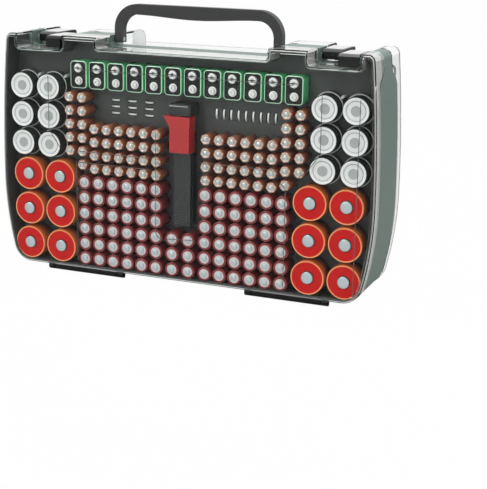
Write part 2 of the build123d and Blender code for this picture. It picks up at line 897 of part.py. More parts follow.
# ================================================================ the whole case
def all_parts():
    parts = {
        "body_frame": body_frame(),
        "front_tray": front_tray(),
        "back_tray": back_tray(),
        "front_lid": front_lid(),
        "back_lid": back_lid(),
        "latch_pins": latch_pins(),
        "handle": handle(),
        "handle_pins": handle_pins(),
        "tester_rail": tester_rail(),
        "tester_cap": tester_cap(),
        "tester_slider": tester_slider(),
        "slider_contact": slider_contact(),
        "tester_contact": tester_contact(),
        "aa_cells": standing_cells(aa_places(), aa_diameter, front_cell_tip, aa_length, round_cell_sides),
        "aaa_cells": standing_cells(aaa_places(), aaa_diameter, front_cell_tip, aaa_length, round_cell_sides),
        "d_cells": standing_cells(d_places(), d_diameter, big_cell_tip, d_length, big_cell_sides),
        "c_cells": standing_cells(c_places(), c_diameter, front_cell_tip, c_length, big_cell_sides),
        "nine_volt_cells": nine_volt_cells(),
        "small_coin_cells": small_coins(),
        "large_coin_cells": large_coins(),
    }
    for name in latch_pivots():
        parts[name] = placed_latch(name)
    for name, (places, diameter, length) in lying_kinds.items():
        parts[name] = lying_cells(places, diameter, length)
    return parts


if __name__ == "__main__":
    os.makedirs("parts", exist_ok=True)
    for name, shape in all_parts().items():
        export_step(shape, f"parts/{name}.step")
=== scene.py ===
# %% [markdown]
# # A carry case for loose battery cells
# The real object is a bowed plastic case with a clear lid on each side. The rigid parts were drawn
# in CAD and arrive here as a frame that already fits together. This notebook gives them their
# finishes and adds what is better modelled than machined: round cells, the clear lids, soft edges.

# %% Load the frame
import math

import bmesh
import bpy
from mathutils import Matrix, Vector


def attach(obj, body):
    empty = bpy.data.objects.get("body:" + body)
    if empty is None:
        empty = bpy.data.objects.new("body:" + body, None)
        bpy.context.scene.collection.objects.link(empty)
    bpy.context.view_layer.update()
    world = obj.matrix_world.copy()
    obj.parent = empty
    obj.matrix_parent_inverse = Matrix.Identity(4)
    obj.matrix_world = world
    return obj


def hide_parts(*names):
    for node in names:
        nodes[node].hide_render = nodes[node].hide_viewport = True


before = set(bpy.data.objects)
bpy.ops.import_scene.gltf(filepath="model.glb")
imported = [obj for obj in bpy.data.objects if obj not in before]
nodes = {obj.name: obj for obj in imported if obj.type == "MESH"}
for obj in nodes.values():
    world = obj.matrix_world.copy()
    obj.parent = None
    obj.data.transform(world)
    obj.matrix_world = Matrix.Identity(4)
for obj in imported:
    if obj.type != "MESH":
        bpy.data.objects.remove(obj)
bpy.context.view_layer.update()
print("nodes from CAD:", len(nodes))

# %% [markdown]
# ## Colours and a node helper
# Colours are read as sRGB hex values, the way a picture shows them, and Blender wants linear light,
# so one function turns them. A second function adds a node with its settings and links, which keeps
# each material readable as a short list of what feeds what.

# %% Helpers for materials
MM = 0.001


def linear(hex_colour, alpha=1.0):
    """An sRGB hex colour as linear light."""
    channels = [int(hex_colour[i : i + 2], 16) / 255 for i in (1, 3, 5)]
    return [c / 12.92 if c <= 0.04045 else ((c + 0.055) / 1.055) ** 2.4 for c in channels] + [alpha]


def add_node(tree, kind, settings=None, **sockets):
    """Adds a node. settings are its properties. sockets are its inputs by name, or by number as _6."""
    node = tree.nodes.new("ShaderNode" + kind)
    for name, value in (settings or {}).items():
        setattr(node, name, value)
    for name, value in sockets.items():
        socket = node.inputs[int(name[1:])] if name[1:].isdigit() else node.inputs[name.replace("_", " ")]
        if isinstance(value, bpy.types.NodeSocket):
            tree.links.new(value, socket)
        else:
            socket.default_value = value
    return node


def new_material(name):
    """An empty node material with its output, and Object coordinates to hang patterns on."""
    material = bpy.data.materials.new(name)
    material.use_nodes = True
    tree = material.node_tree
    tree.nodes.clear()
    output = tree.nodes.new("ShaderNodeOutputMaterial")
    place = add_node(tree, "TexCoord").outputs["Object"]
    return material, tree, output, place


print("mid grey in linear light:", [round(c, 3) for c in linear("#808080")])

# %% [markdown]
# ## Moulded plastic
# The body, trays, latches and handle are injection moulded ABS. The mould is spark eroded, which
# leaves a satin grain, and the colour drifts a little over a hand's width where the melt flowed. One
# function mixes both for every plastic colour. To the eye this gives wide, soft highlights on the
# large faces, and a tighter shine on the polished latches.

# %% Satin moulded plastic
GRAIN_MM = 0.6  # real grain is about 0.1 mm, drawn coarser so that it shows at this size
GRAIN_HEIGHT_MM = 0.05
FLOW_MM = 60.0
ABS_IOR = 1.53
SHEEN_SWING = 0.06


def moulded_plastic(name, colour, drift, roughness, grain=0.12):
    """ABS with a satin grain: the tone wanders between two colours, and roughness follows the grain."""
    material, tree, output, place = new_material(name)
    flow = add_node(tree, "TexNoise", Vector=place, Scale=1 / (FLOW_MM * MM), Detail=3.0)
    fine = add_node(tree, "TexNoise", Vector=place, Scale=1 / (GRAIN_MM * MM), Detail=2.0)
    tint = add_node(
        tree, "Mix", {"data_type": "RGBA"}, Factor=flow.outputs["Fac"], _6=linear(colour), _7=linear(drift)
    )
    sheen = add_node(
        tree,
        "MapRange",
        Value=fine.outputs["Fac"],
        To_Min=roughness - SHEEN_SWING,
        To_Max=roughness + SHEEN_SWING,
    )
    bump = add_node(tree, "Bump", Height=fine.outputs["Fac"], Strength=grain, Distance=GRAIN_HEIGHT_MM * MM)
    shader = add_node(
        tree,
        "BsdfPrincipled",
        Base_Color=tint.outputs["Result"],
        Roughness=sheen.outputs["Result"],
        Normal=bump.outputs["Normal"],
        IOR=ABS_IOR,
    )
    tree.links.new(shader.outputs["BSDF"], output.inputs["Surface"])
    return material


# Satin body, dark trays and grip, glossy black levers, a matt black tester with a red slider.
body_plastic = moulded_plastic("satin_abs_grey_green", "#748880", "#7C9087", 0.42)
deck_plastic = moulded_plastic("satin_abs_charcoal", "#3A3C3B", "#404342", 0.45)
handle_plastic = moulded_plastic("satin_abs_handle", "#343635", "#3C3E3D", 0.5)
latch_plastic = moulded_plastic("gloss_abs_black", "#121414", "#1A1C1C", 0.2, grain=0.05)
tester_plastic = moulded_plastic("satin_abs_black", "#252727", "#2B2D2D", 0.5)
slider_plastic = moulded_plastic("satin_abs_red", "#B01F24", "#BC2A2C", 0.4)
# Painted highlights: thin pale lines on the collar lips, the lugs and the tester's cap, where their edges
# catch the light.
painted_highlight_plastic = moulded_plastic("painted_highlight_abs_edge", "#D2D4D3", "#C4C6C5", 0.35)
# The lid's inner ribs: a grey that reads dark over pale cells and pale over the deck, painted shade and light
# for what the clear steps' edges show by refraction.
rib_painted_shade_plastic = moulded_plastic("painted_shade_polystyrene_rib", "#4C4E4E", "#565858", 0.3)
# The outer side of the tray's rim: a warm pale grey, painted light for the brightness seen through the lid's
# side wall.
painted_light_rim_plastic = moulded_plastic("painted_light_abs_rim", "#B4B1AD", "#A8A6A2", 0.4)
print("plastics:", [m.name for m in bpy.data.materials])

# %% [markdown]
# ## Clear lid
# The lids are clear polystyrene, moulded glossy and 1.8 mm thick. Glass shading bends what is seen
# through the rounded edges, which draws the bright outline of the real lid. Lamps would not reach
# the cells through it, so for shadow rays alone it is swapped for a plain see-through shader. Its
# head-on reflection is damped, because the white surround would lay a veil over the dark deck.

# %% Clear polystyrene
RIPPLE_MM = 35.0
RIPPLE_HEIGHT_MM = 0.3
LID_IOR = 1.5


def clear_plastic(name, colour, roughness):
    """Clear polystyrene: glass that lets the lamps through."""
    material, tree, output, place = new_material(name)
    ripple = add_node(tree, "TexNoise", Vector=place, Scale=1 / (RIPPLE_MM * MM), Detail=1.0)
    bump = add_node(tree, "Bump", Height=ripple.outputs["Fac"], Strength=0.03, Distance=RIPPLE_HEIGHT_MM * MM)
    glass = add_node(
        tree,
        "BsdfPrincipled",
        Base_Color=linear(colour),
        Roughness=roughness,
        IOR=LID_IOR,
        Specular_Tint=linear("#6A6A6A"),
        Transmission_Weight=1.0,
        Normal=bump.outputs["Normal"],
    )
    through = add_node(tree, "BsdfTransparent", Color=linear("#F4F6F5"))
    ray = add_node(tree, "LightPath")
    both = add_node(
        tree,
        "MixShader",
        _0=ray.outputs["Is Shadow Ray"],
        _1=glass.outputs["BSDF"],
        _2=through.outputs["BSDF"],
    )
    tree.links.new(both.outputs["Shader"], output.inputs["Surface"])
    return material


# Polished: cells show through it sharply. Frosted, on the finger tab: a milky patch.
lid_plastic = clear_plastic("clear_polystyrene", "#FAFCFB", 0.02)
frosted_plastic = clear_plastic("frosted_polystyrene", "#F4F6F6", 0.65)
print("clear plastics:", lid_plastic.name, frosted_plastic.name)

# %% [markdown]
# ## Plated metals
# Cell caps, coins and pins are nickel-plated steel, drawn and tumbled, so they shine softly with
# faint scratches. The tester's contacts are sprung brass that has gone dull.

# %% Plated sheet metal
SCRATCH_MM = 0.8  # real scratches are finer, drawn coarser so that they show at this size
DULLER, SHARPER = 0.12, 0.08


def plated_metal(name, colour, roughness):
    """Plated sheet metal with fine scratches in its tone and roughness."""
    material, tree, output, place = new_material(name)
    scratches = add_node(tree, "TexNoise", Vector=place, Scale=1 / (SCRATCH_MM * MM), Detail=4.0)
    dull = add_node(
        tree,
        "MapRange",
        Value=scratches.outputs["Fac"],
        To_Min=roughness - SHARPER,
        To_Max=roughness + DULLER,
    )
    tone = add_node(
        tree, "MapRange", Value=scratches.outputs["Fac"], From_Min=0.3, From_Max=0.7, To_Min=0.9, To_Max=1.0
    )
    shade = add_node(
        tree,
        "Mix",
        {"data_type": "RGBA"},
        Factor=tone.outputs["Result"],
        _6=linear("#777777"),
        _7=linear(colour),
    )
    shader = add_node(
        tree,
        "BsdfPrincipled",
        Base_Color=shade.outputs["Result"],
        Roughness=dull.outputs["Result"],
        Metallic=1.0,
    )
    tree.links.new(shader.outputs["BSDF"], output.inputs["Surface"])
    return material


# Cool steel gives the nubs their blue-grey glint, warm steel the crimped ends, matt steel the coins.
steel = plated_metal("nickel_plated_steel", "#C2CCD0", 0.3)
beige_steel = plated_metal("crimped_steel", "#D2C6BC", 0.4)
bright_steel = plated_metal("tumbled_steel", "#FAFAF8", 0.55)
brass = plated_metal("spring_brass", "#7A6238", 0.45)
print("metals:", [m.name for m in (steel, beige_steel, bright_steel, brass)])

# %% [markdown]
# ## Printed sleeves
# The cans wear a shrink sleeve: a printed film whose colour shifts slightly along the can. The ends
# that face forward are brightest, and the sides sink into the shadow of their sockets, so a sleeve
# may also carry a painted shade that darkens it with depth. Names and marks are left off: the sleeves are
# bare.

# %% Shrink film
WANDER_MM = 9.0
WRINKLE_MM, WRINKLE_HEIGHT_MM = 2.5, 0.1
# The painted shade of the sockets comes in between these depths.
PAINTED_SHADE_FROM_MM, PAINTED_SHADE_TO_MM = -39.0, -24.0


def printed_sleeve(name, colour, drift, roughness=0.28, shine=0.3, gloss=0.5, painted_shade=None):
    """Shrink film over a can: two close tones under a clear coat, and a painted shade colour further back for
    the shadow in the sockets.
    """
    material, tree, output, place = new_material(name)
    wander = add_node(tree, "TexNoise", Vector=place, Scale=1 / (WANDER_MM * MM), Detail=2.0)
    tint = add_node(
        tree, "Mix", {"data_type": "RGBA"}, Factor=wander.outputs["Fac"], _6=linear(colour), _7=linear(drift)
    )
    if painted_shade:
        split = add_node(tree, "SeparateXYZ", Vector=place)
        depth = add_node(
            tree, "MapRange", Value=split.outputs["Y"], From_Min=PAINTED_SHADE_FROM_MM * MM, From_Max=PAINTED_SHADE_TO_MM * MM
        )
        tint = add_node(
            tree,
            "Mix",
            {"data_type": "RGBA"},
            Factor=depth.outputs["Result"],
            _6=tint.outputs["Result"],
            _7=linear(painted_shade),
        )
    wrinkle = add_node(tree, "TexNoise", Vector=place, Scale=1 / (WRINKLE_MM * MM), Detail=2.0)
    height = WRINKLE_HEIGHT_MM * MM
    bump = add_node(tree, "Bump", Height=wrinkle.outputs["Fac"], Strength=0.08, Distance=height)
    shader = add_node(
        tree,
        "BsdfPrincipled",
        Base_Color=tint.outputs["Result"],
        Roughness=roughness,
        Specular_IOR_Level=gloss,
        Coat_Weight=shine,
        Coat_Roughness=0.1,
        Normal=bump.outputs["Normal"],
    )
    tree.links.new(shader.outputs["BSDF"], output.inputs["Surface"])
    return material


# Sides of the standing cells: red, copper and orange tones, with a painted shade that darkens them deeper in
# the sockets.
red_sleeve = printed_sleeve("shrink_film_dark_red", "#7A2226", "#8A2A2C", painted_shade="#5E1418", gloss=0.3)
copper_sleeve = printed_sleeve("shrink_film_copper", "#A45A3E", "#B87352", painted_shade="#6E3420")
brown_sleeve = printed_sleeve("shrink_film_orange_brown", "#D0662A", "#DC7638", painted_shade="#40281C")
# Ends of the D cells: a flat, even red inside a thin orange rim.
red_label = printed_sleeve("matt_film_red", "#C8100E", "#CC1A16", roughness=0.5, shine=0.0, gloss=0.15)
orange_label = printed_sleeve("film_orange", "#F2965C", "#F8A874", roughness=0.35)
# Ends of the C cells: white and two greys, and a dull black for cans and end plates.
white_label = printed_sleeve("film_white", "#F4F4F4", "#ECECEC", roughness=0.4, shine=0.1)
pale_label = printed_sleeve("film_pale_grey", "#E2E2E2", "#E9E9E9", roughness=0.4, shine=0.1)
grey_label = printed_sleeve("film_grey", "#A8A8A8", "#B0B2B2", roughness=0.4, shine=0.1)
black_label = printed_sleeve("matt_film_black", "#1E2020", "#222424", roughness=0.6, shine=0.0, gloss=0.3)
# The AA cells' insulating ring is uncoated card: it stays pale and never glints.
ring_card = printed_sleeve("insulating_card", "#D6CFCE", "#CFCACB", roughness=0.5, shine=0.0)
# Nine-volt cells: bright green sides behind a rim that is nearly white.
green_label = printed_sleeve("film_green", "#5CD98A", "#6BE399", roughness=0.35)
rim_label = printed_sleeve("film_pale_green", "#D4F5DF", "#C2EFD0", roughness=0.35)
# Bands of print on the lying cells of the back tray.
yellow_label = printed_sleeve("film_yellow", "#F2A516", "#F6B83A", roughness=0.35)
amber_label = printed_sleeve("film_amber", "#D9781A", "#E38A2A", roughness=0.35)
rose_label = printed_sleeve("film_rose", "#A98683", "#B6918D", roughness=0.4)
dark_label = printed_sleeve("film_slate", "#4A4F55", "#555B61", roughness=0.4)
purple_label = printed_sleeve("film_purple", "#6B4A78", "#765586", roughness=0.4)
salmon_label = printed_sleeve("film_salmon", "#D0604E", "#DA6E5B", roughness=0.4)
leaf_label = printed_sleeve("film_leaf_green", "#3FA05A", "#4BB067", roughness=0.4)
tan_label = printed_sleeve("film_tan", "#C98A52", "#D39860", roughness=0.4)
print("materials so far:", len(bpy.data.materials))

# %% [markdown]
# ## Finishing a piece
# Pieces are drawn in millimetres with bmesh. One function scales them to metres, makes the object
# and lets it ride on its body; it also hides the CAD nodes that the piece stands for.

# %% Making an object of a finished shape
CREASE_DEGREES = 38


def finished(bm, name, body, materials, stands_for=()):
    """Turns a bmesh drawn in millimetres into a piece that rides on a body."""
    bmesh.ops.scale(bm, vec=(MM, MM, MM), verts=bm.verts)
    mesh = bpy.data.meshes.new(name)
    bm.to_mesh(mesh)
    bm.free()
    for material in materials:
        mesh.materials.append(material)
    piece = bpy.data.objects.new(name, mesh)
    bpy.context.scene.collection.objects.link(piece)
    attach(piece, body)
    if stands_for:
        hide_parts(*stands_for)
    print(name, "faces:", len(mesh.polygons))
    return piece


def turned(bm, outline, steps):
    """Spins an outline of (radius, y) points about the Y axis, as on a lathe."""
    verts = [bm.verts.new((radius, y, 0)) for radius, y in outline]
    edges = [bm.edges.new(pair) for pair in zip(verts, verts[1:])]
    bmesh.ops.spin(
        bm, geom=verts + edges, cent=(0, 0, 0), axis=(0, 1, 0), angle=math.tau, steps=steps, use_merge=True
    )
    bmesh.ops.remove_doubles(bm, verts=bm.verts, dist=0.001)
    bmesh.ops.recalc_face_normals(bm, faces=bm.faces)


def shade(bm):
    """Smooth shading that stops at every edge sharper than the crease angle."""
    for face in bm.faces:
        face.smooth = True
    for edge in bm.edges:
        edge.smooth = edge.calc_face_angle(0) < math.radians(CREASE_DEGREES)


def paint(bm, choose):
    """Gives each face the material number that choose(radius, y) says, then shades the shape."""
    for face in bm.faces:
        middle = face.calc_center_median()
        face.material_index = choose(math.hypot(middle.x, middle.z), middle.y)
    shade(bm)


def repeated(template, places, y, turn=None):
    """Copies a template bmesh to each (x, z) place at depth y, all in one new bmesh."""
    mesh = bpy.data.meshes.new("template")
    if turn:
        bmesh.ops.transform(template, matrix=turn, verts=template.verts)
    template.to_mesh(mesh)
    template.free()
    group = bmesh.new()
    for x, z in places:
        start = len(group.verts)
        group.from_mesh(mesh)
        group.verts.ensure_lookup_table()
        bmesh.ops.translate(group, vec=(x, y, z), verts=group.verts[start:])
    bpy.data.meshes.remove(mesh)
    return group


def add_from(bm, other):
    """Adds another bmesh's shape to bm and frees it."""
    mesh = bpy.data.meshes.new("part")
    other.to_mesh(mesh)
    other.free()
    bm.from_mesh(mesh)
    bpy.data.meshes.remove(mesh)


# %% [markdown]
# ## Where the cells stand
# The sockets follow regular grids, left and right alike. The same sums as on the drawing give each
# cell's place, seen from the front.

# %% Grids of the front tray
def grid(xs, zs):
    """Every pairing of a column and a row."""
    return [(x, z) for x in xs for z in zs]


def series(first, pitch, count):
    """Evenly spaced values from the first one on."""
    return [first + pitch * i for i in range(count)]


def centred(middle, pitch, count):
    """Evenly spaced values about a middle."""
    return series(middle - pitch * (count - 1) / 2, pitch, count)


def both_sides(values):
    """Each value left and right of the middle."""
    return [side * value for value in values for side in (-1, 1)]


aa_rows = series(18.65, 15.57, 6)
aa_places = grid(both_sides(series(26.0, 15.65, 6)), aa_rows) + grid([-8.5, 8.5], aa_rows[:3])
aaa_places = grid(both_sides(series(26.0, 13.38, 6)), series(110.7, 13.23, 4))
aaa_places += grid([-106.2, 106.2], series(180.4, -13.3, 6)) + grid([-119.9, 119.9], series(180.4, -13.3, 5))
d_places = grid(both_sides([131.4, 167.0]), series(28.5, 35.7, 3))
c_places = grid(both_sides([142.7, 172.2]), series(131.3, 28.55, 3))
nine_volt_places = grid(centred(0, 20.24, 12), [202.15])
small_coin_places = grid(centred(-60.6, 18.25, 3), centred(171.4, 6.4, 3))
large_coin_places = grid(series(28.9, 7.5, 9), [172.3])
print("AA", len(aa_places), "AAA", len(aaa_places), "D", len(d_places), "C", len(c_places))

# %% [markdown]
# ## AA cells
# A steel can in a dark red sleeve that folds over its rim, a pale insulating ring, and the nub. It is
# a lathe shape, so one outline of (radius, depth) points spun about its axis makes it, and 78 copies
# stand in the tray. Depth is counted from the tip of the cell.

# %% AA cells in the front tray
AA_TIP = -40.0
AA_RADIUS, AA_LENGTH, AA_STEPS = 7.25, 50.5, 20


def aa_number(radius, depth):
    """0 is the sleeve, 1 the insulating ring, 2 the nub."""
    if radius < 2.79 and depth < 1.3:
        return 2
    return 1 if radius < 4.95 and depth < 2 else 0


def aa_template():
    """One AA cell, its nub towards -Y."""
    bm = bmesh.new()
    nub = [(0, 0), (2.2, 0), (2.75, 0.35), (2.8, 1.3)]
    ring_and_fold = [(4.9, 1.45), (5.1, 1.1), (6.5, 1.0), (7.15, 1.4), (AA_RADIUS, 2.2)]
    can = [(AA_RADIUS, AA_LENGTH - 1.1), (6.8, AA_LENGTH - 0.1), (0, AA_LENGTH)]
    turned(bm, nub + ring_and_fold + can, AA_STEPS)
    paint(bm, aa_number)
    return bm


finished(
    repeated(aa_template(), aa_places, AA_TIP),
    "aa_cells_round",
    "case",
    [red_sleeve, ring_card, steel],
    ["aa_cells"],
)

# %% [markdown]
# ## AAA cells
# Thinner cans whose end is bare metal with crimp notches around the rim, so every third facet of the
# shoulder is dented and left bare before the copies are made.

# %% AAA cells in the front tray
AAA_RADIUS, AAA_LENGTH, AAA_STEPS = 5.25, 44.5, 18
FACE_EDGE, SHOULDER_EDGE, SHOULDER_DEPTH = 4.2, 4.9, 2.3


def aaa_number(radius, depth):
    """0 is the sleeve, 1 the crimped end, 2 the nub."""
    if radius < 1.93 and depth < 1.1:
        return 2
    return 1 if radius < FACE_EDGE and depth < SHOULDER_DEPTH else 0


def aaa_template():
    """One AAA cell with its crimped shoulder."""
    bm = bmesh.new()
    nub = [(0, 0), (1.5, 0), (1.9, 0.3), (1.95, 1.4)]
    end = [(2.5, 1.6), (3.2, 1.1), (4.1, 1.0), (5.0, 1.5), (AAA_RADIUS, 2.6)]
    can = [(AAA_RADIUS, AAA_LENGTH - 0.9), (4.8, AAA_LENGTH - 0.1), (0, AAA_LENGTH)]
    turned(bm, nub + end + can, AAA_STEPS)
    paint(bm, aaa_number)
    middles = {face: face.calc_center_median() for face in bm.faces}
    shoulder = [
        face for face, middle in middles.items()
        if FACE_EDGE < middle.xz.length < SHOULDER_EDGE and middle.y < SHOULDER_DEPTH
    ]
    shoulder.sort(key=lambda face: math.atan2(middles[face].z, middles[face].x))
    for face in shoulder[::3]:
        face.material_index = 1
        bmesh.ops.inset_individual(bm, faces=[face], thickness=0.2, depth=0.25)
    return bm


finished(
    repeated(aaa_template(), aaa_places, AA_TIP),
    "aaa_cells_round",
    "case",
    [copper_sleeve, beige_steel, steel],
    ["aaa_cells"],
)

# %% [markdown]
# ## D and C cells
# The D cells show a red printed end with a thin orange rim and a flat nub in a shallow groove, which
# is painted black as the nub's shadow. The C cells stand the other way up: a white rim, a shallow ring
# and a plain centre, on dark cans.

# %% D cells
D_TIP = -40.5
D_RADIUS, D_LENGTH, BIG_STEPS = 16.7, 61.5, 48


def d_number(radius, depth):
    """0 is the red end, 1 the orange rim, 2 the nub, 3 the sleeve, 4 the groove round the nub, painted black
    as its shadow.
    """
    if radius < 5.66 and depth < 1.8:
        return 2
    # The ring just outside the nub gets black film: a painted shadow of the nub.
    if radius < 6.3 and depth < 2:
        return 4
    if radius < 15.1:
        return 0
    return 1 if radius < 16.4 and depth < 2 else 3


def d_template():
    """One D cell, its nub towards -Y."""
    bm = bmesh.new()
    nub = [(0, 0), (5.1, 0), (5.6, 0.3), (5.7, 1.7)]
    end = [(6.5, 1.9), (14.9, 1.6), (15.2, 1.1), (16.3, 1.0), (D_RADIUS, 1.8)]
    can = [(D_RADIUS, D_LENGTH - 1.1), (16.0, D_LENGTH - 0.1), (0, D_LENGTH)]
    turned(bm, nub + end + can, BIG_STEPS)
    paint(bm, d_number)
    return bm


finished(
    repeated(d_template(), d_places, D_TIP),
    "d_cells_round",
    "case",
    [red_label, orange_label, steel, brown_sleeve, black_label],
    ["d_cells"],
)


# %% C cells
C_RADIUS, C_LENGTH = 13.1, 50.0


def c_number(radius, depth):
    """0 is the white rim, 1 the pale face, 2 the grey centre and ring, 3 the can."""
    if radius > 12.35 or depth > 2.2:
        return 3
    if radius < 4.95 or 8.8 < radius < 9.5:
        return 2
    return 1 if radius < 9.6 else 0


def c_template():
    """One C cell, its flat end towards -Y."""
    bm = bmesh.new()
    face = [(0, 1.3), (4.6, 1.3), (4.9, 1.0), (8.7, 1.0), (9.0, 1.5), (9.4, 1.5), (9.7, 0.7), (10.3, 0.7)]
    rim = [(10.6, 0.2), (11.9, 0), (12.3, 0.5), (12.5, 1.4), (C_RADIUS, 2.2)]
    can = [(C_RADIUS, C_LENGTH - 1.0), (12.6, C_LENGTH - 0.1), (0, C_LENGTH)]
    turned(bm, face + rim + can, BIG_STEPS)
    paint(bm, c_number)
    return bm


finished(
    repeated(c_template(), c_places, AA_TIP),
    "c_cells_round",
    "case",
    [white_label, pale_label, grey_label, black_label],
    ["c_cells"],
)

# %% [markdown]
# ## Nine-volt cells
# A box with rounded long edges in green print, a pale rim, and a black end plate that carries two snap
# terminals: a split ring above and a plain cup below.

# %% Nine-volt cells
NINE_FRONT = -34.0
NINE_WIDTH, NINE_DEPTH, NINE_HEIGHT, NINE_CORNER = 17.5, 46.5, 26.5, 3.6
SNAP_UP_Z, SNAP_LOW_Z, SNAP_STEPS = 6.4, -6.0, 20


def snap(bm, z, outline, number):
    """Adds a terminal, turned on the lathe, to the end plate at height z."""
    part = bmesh.new()
    turned(part, outline, SNAP_STEPS)
    for face in part.faces:
        face.material_index = number
    bmesh.ops.translate(part, vec=(0, 0, z), verts=part.verts)
    shade(part)
    add_from(bm, part)


def nine_volt_template():
    """One nine-volt cell, its terminals towards -Y."""
    bm = bmesh.new()
    size = Matrix.Diagonal((NINE_WIDTH, NINE_DEPTH, NINE_HEIGHT, 1))
    bmesh.ops.create_cube(bm, size=1, matrix=Matrix.Translation((0, NINE_DEPTH / 2, 0)) @ size)
    long_edges = [e for e in bm.edges if e.calc_length() > NINE_DEPTH - 1]
    bmesh.ops.bevel(
        bm,
        geom=long_edges,
        offset=NINE_CORNER,
        affect="EDGES",
        segments=5,
        profile=0.5,
        material=-1,
        clamp_overlap=True,
    )
    front = min(bm.faces, key=lambda f: f.calc_center_median().y)
    rim = bmesh.ops.inset_individual(bm, faces=[front], thickness=0.8, depth=0.35)
    wall = bmesh.ops.inset_individual(bm, faces=[front], thickness=0.15, depth=-1.0)
    for face in rim["faces"]:
        face.material_index = 1
    front.material_index = 2
    for face in wall["faces"]:
        face.material_index = 2
    shade(bm)
    ring = [(0.0, 0.5), (1.3, 0.5), (1.5, -1.6), (2.6, -1.9), (4.0, -1.6), (4.5, -0.4), (4.2, 0.5)]
    cup = [(0.0, -0.2), (1.1, -0.2), (1.3, -1.9), (2.7, -1.9), (3.0, -1.2), (3.1, 0.0), (4.1, 0.1)]
    snap(bm, SNAP_UP_Z, ring, 3)
    snap(bm, SNAP_LOW_Z, cup + [(4.1, 0.5)], 3)
    slit = Matrix.Translation((0, -1.6, SNAP_UP_Z)) @ Matrix.Diagonal((7.6, 0.9, 0.8, 1))
    cut = bmesh.ops.create_cube(bm, size=1, matrix=slit)
    for vert in cut["verts"]:
        for face in vert.link_faces:
            face.material_index = 2
    return bm


finished(
    repeated(nine_volt_template(), nine_volt_places, NINE_FRONT),
    "nine_volt_cells_boxed",
    "case",
    [green_label, rim_label, black_label, bright_steel],
    ["nine_volt_cells"],
)

# %% [markdown]
# ## Coin cells
# Two sizes of coin sit in slots, the small ones flat and the large ones upright, so only a bright arc
# of each rim shows.

# %% Coin cells
COIN_HALF, COIN_STEPS = 1.6, 32
SMALL_COIN_RADIUS, SMALL_COIN_Y = 8.0, -12.2
LARGE_COIN_RADIUS, LARGE_COIN_Y = 10.0, -10.0


def coin_template(radius):
    """A coin with its axis along Y: a bright rounded rim on a dark body."""
    bm = bmesh.new()
    half = COIN_HALF
    outline = [(0, -half), (radius - 0.9, -half), (radius - 0.5, -half + 0.6), (radius, -half + 1.0)]
    outline += [(radius, half - 1.0), (radius - 0.5, half - 0.6), (radius - 0.9, half), (0, half)]
    turned(bm, outline, COIN_STEPS)
    paint(bm, lambda r, y: 0 if r > radius - 0.6 else 1)
    return bm


LYING_FLAT = Matrix.Rotation(math.pi / 2, 4, "X")
UPRIGHT = Matrix.Rotation(math.pi / 2, 4, "Z")
finished(
    repeated(coin_template(SMALL_COIN_RADIUS), small_coin_places, SMALL_COIN_Y, LYING_FLAT),
    "small_coins_round",
    "case",
    [bright_steel, latch_plastic],
    ["small_coin_cells"],
)
finished(
    repeated(coin_template(LARGE_COIN_RADIUS), large_coin_places, LARGE_COIN_Y, UPRIGHT),
    "large_coins_round",
    "case",
    [bright_steel, latch_plastic],
    ["large_coin_cells"],
)

# %% [markdown]
# ## Cells of the back tray
# These cells lie on their sides, half sunk in troughs. Each kind is one turned shape laid along X, with
# bands of print along the can. Those left of the middle are turned round, so the nubs point outwards.

# %% A lying cell
BACK_DECK, BACK_ROOM, LYING_STEPS = 28.0, 38.75, 20


def lying_template(diameter, length, nub, bands):
    """A can with its nub at +X. bands are (share of its length, material number) from the -X end."""
    bm = bmesh.new()
    r, end, tip = diameter / 2, length - 1.2, length
    outline = [(0, 0), (r - 0.9, 0), (r - 0.25, 0.25), (r, 0.9)]
    for share, number in bands[:-1]:
        outline += [(r, share * end - 0.15), (r - 0.12, share * end), (r, share * end + 0.15)]
    outline += [(r, end - 0.9), (r - 0.25, end - 0.25), (r - 0.9, end), (nub + 0.6, end), (nub, end + 0.2)]
    outline += [(nub, tip - 0.2), (nub - 0.3, tip), (0, tip)]
    turned(bm, outline, LYING_STEPS)
    metal = max(number for share, number in bands) + 1

    def band_number(radius, depth):
        if depth < 0.05 or depth > end - 0.05:
            return metal
        return next(number for share, number in bands if depth <= share * end + 0.01)

    paint(bm, band_number)
    lay = Matrix.Rotation(-math.pi / 2, 4, "Z") @ Matrix.Translation((0, -length / 2, 0))
    bmesh.ops.transform(bm, matrix=lay, verts=bm.verts)
    return bm


def lying_group(name, places, diameter, length, nub, bands, materials):
    """Both halves of a mirrored pattern of lying cells, as one piece."""
    y = BACK_DECK + min(diameter / 4, BACK_ROOM - diameter / 2 - BACK_DECK)
    right = [p for p in places if p[0] > 0]
    left = [p for p in places if p[0] <= 0]
    group = bmesh.new()
    for half, turn in ((right, None), (left, Matrix.Rotation(math.pi, 4, "Z"))):
        if half:
            add_from(group, repeated(lying_template(diameter, length, nub, bands), half, y, turn))
    finished(group, name + "_round", "case", materials + [steel], [name])


